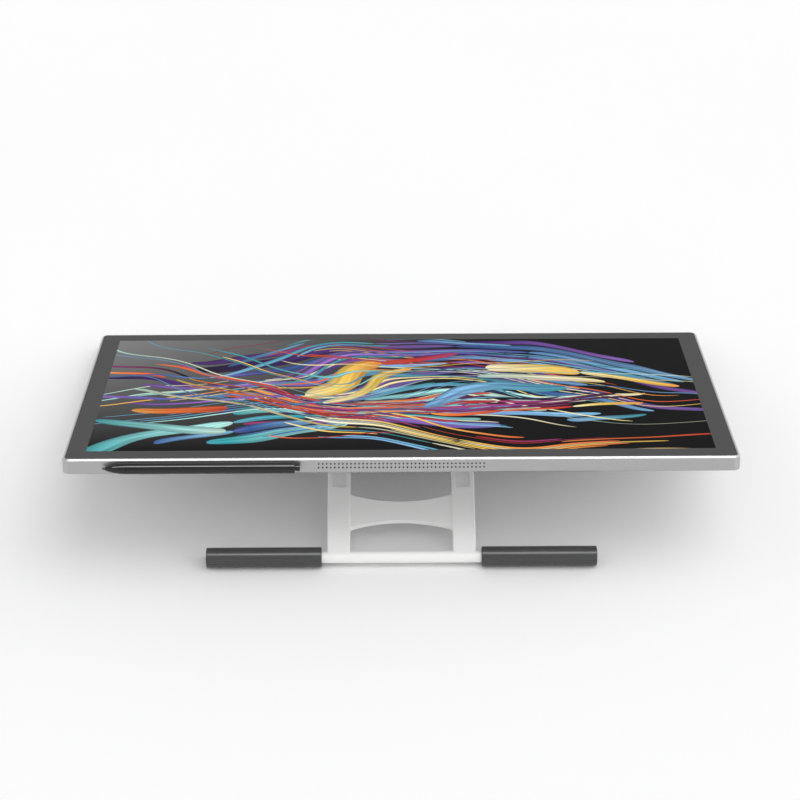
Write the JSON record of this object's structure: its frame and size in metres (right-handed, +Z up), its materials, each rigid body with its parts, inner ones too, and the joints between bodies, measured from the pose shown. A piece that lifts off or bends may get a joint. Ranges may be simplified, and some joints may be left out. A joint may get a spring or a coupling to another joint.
{
  "type": "graphics tablet with screen",
  "caption": "Thin flat pen display tilted on a folding stand with a wide rubber foot; a pen is held along its raised edge, above a row of speaker holes.",
  "frame": {"origin": "middle of the object's footprint on the desk, at desk height", "axes": "+X along the screen's long side, -Y towards the raised edge with the pen, +Y towards the edge that rests on the desk, +Z up"},
  "size_m": [0.564, 0.3364, 0.1086],
  "materials": {
    "anodised_aluminium": "bead-blasted anodised",
    "cover_glass": "satin etched, dark border print",
    "panel_glass": "smooth",
    "foam": "matte",
    "clear_acrylic": "polished",
    "white_film": "matte",
    "led_board": "matte",
    "tray_aluminium": "plain sheet",
    "circuit_board": "satin",
    "chip_plastic": "matte",
    "brass": "plain",
    "steel": "plain",
    "black_mesh": "matte",
    "speaker_plastic": "matte",
    "button_plastic": "satin",
    "pad_rubber": "matte",
    "white_coat": "smooth powder coat",
    "silver_paint": "silver-grey paint",
    "sleeve_rubber": "satin",
    "friction_fibre": "matte",
    "pen_plastic": "soft matte",
    "copper_coil": "enamelled",
    "nib_plastic": "matte",
    "pen_button_plastic": "satin"
  },
  "bodies": {
    "display": {"rim_frame": "anodised_aluminium", "cover_glass": "cover_glass", "lcd_panel": "panel_glass", "glass_gasket": "foam", "light_guide": "clear_acrylic", "diffuser_sheet": "white_film", "reflector_sheet": "white_film", "led_strip": "led_board", "backlight_tray": "tray_aluminium", "shield_plate": "tray_aluminium", "digitizer_board": "circuit_board", "main_board": "circuit_board", "port_board": "circuit_board", "board_chips": "chip_plastic", "power_switch": "chip_plastic", "board_spacers": "brass", "board_screws": "steel", "port_socket_a": "steel", "port_socket_b": "steel", "pen_magnets": "steel", "cover_screws": "steel", "hinge_backing": "steel", "hinge_bracket_left": "steel", "hinge_bracket_right": "steel", "hinge_screws": "steel", "grille_mesh": "black_mesh", "speaker_left": "speaker_plastic", "speaker_right": "speaker_plastic", "speaker_cone_left": "speaker_plastic", "speaker_cone_right": "speaker_plastic", "rest_pad_left": "pad_rubber", "rest_pad_right": "pad_rubber", "rear_cover": "silver_paint"},
    "stand": {"stand_rail_left": "white_coat", "stand_rail_right": "white_coat", "lower_brace": "white_coat", "upper_brace": "white_coat", "foot_tube": "white_coat", "foot_rod": "steel", "foot_sleeve_left": "sleeve_rubber", "foot_sleeve_right": "sleeve_rubber", "hinge_pin_left": "steel", "hinge_pin_right": "steel", "friction_washers": "friction_fibre"},
    "pen": {"pen_barrel": "pen_plastic", "pen_nose": "pen_plastic", "pen_tail": "pen_plastic", "pen_coil": "copper_coil", "pen_circuit": "circuit_board", "pen_keepers": "steel"},
    "nib": {"pen_nib": "nib_plastic"},
    "side_button": {"pen_button": "pen_button_plastic"},
    "power_key": {"power_button": "button_plastic"}
  },
  "joints": [
    {"name": "stand_hinge", "type": "hinge", "parent": "display", "child": "stand", "pos_m": [0, -0.02655, 0.04852], "axis": [1, 0, 0], "range_deg": [0, 146.7]},
    {"name": "pen_lift_off", "type": "slide", "parent": "display", "child": "pen", "axis": [0, -0.9588, 0.284], "range_m": [0, 0.06]},
    {"name": "nib_press", "type": "slide", "parent": "pen", "child": "nib", "axis": [1, 0, 0], "range_m": [0, 0.0006], "stiffness_N_per_m": 300},
    {"name": "side_button_rock", "type": "hinge", "parent": "pen", "child": "side_button", "pos_m": [-0.206, -0.1601, 0.10028], "axis": [0, 0.9588, -0.284], "range_deg": [-2.5, 2.5], "stiffness_Nm_per_rad": 0.02},
    {"name": "power_press", "type": "slide", "parent": "display", "child": "power_key", "axis": [0, 0.284, 0.9588], "range_m": [0, 0.0005], "stiffness_N_per_m": 600}
  ]
}
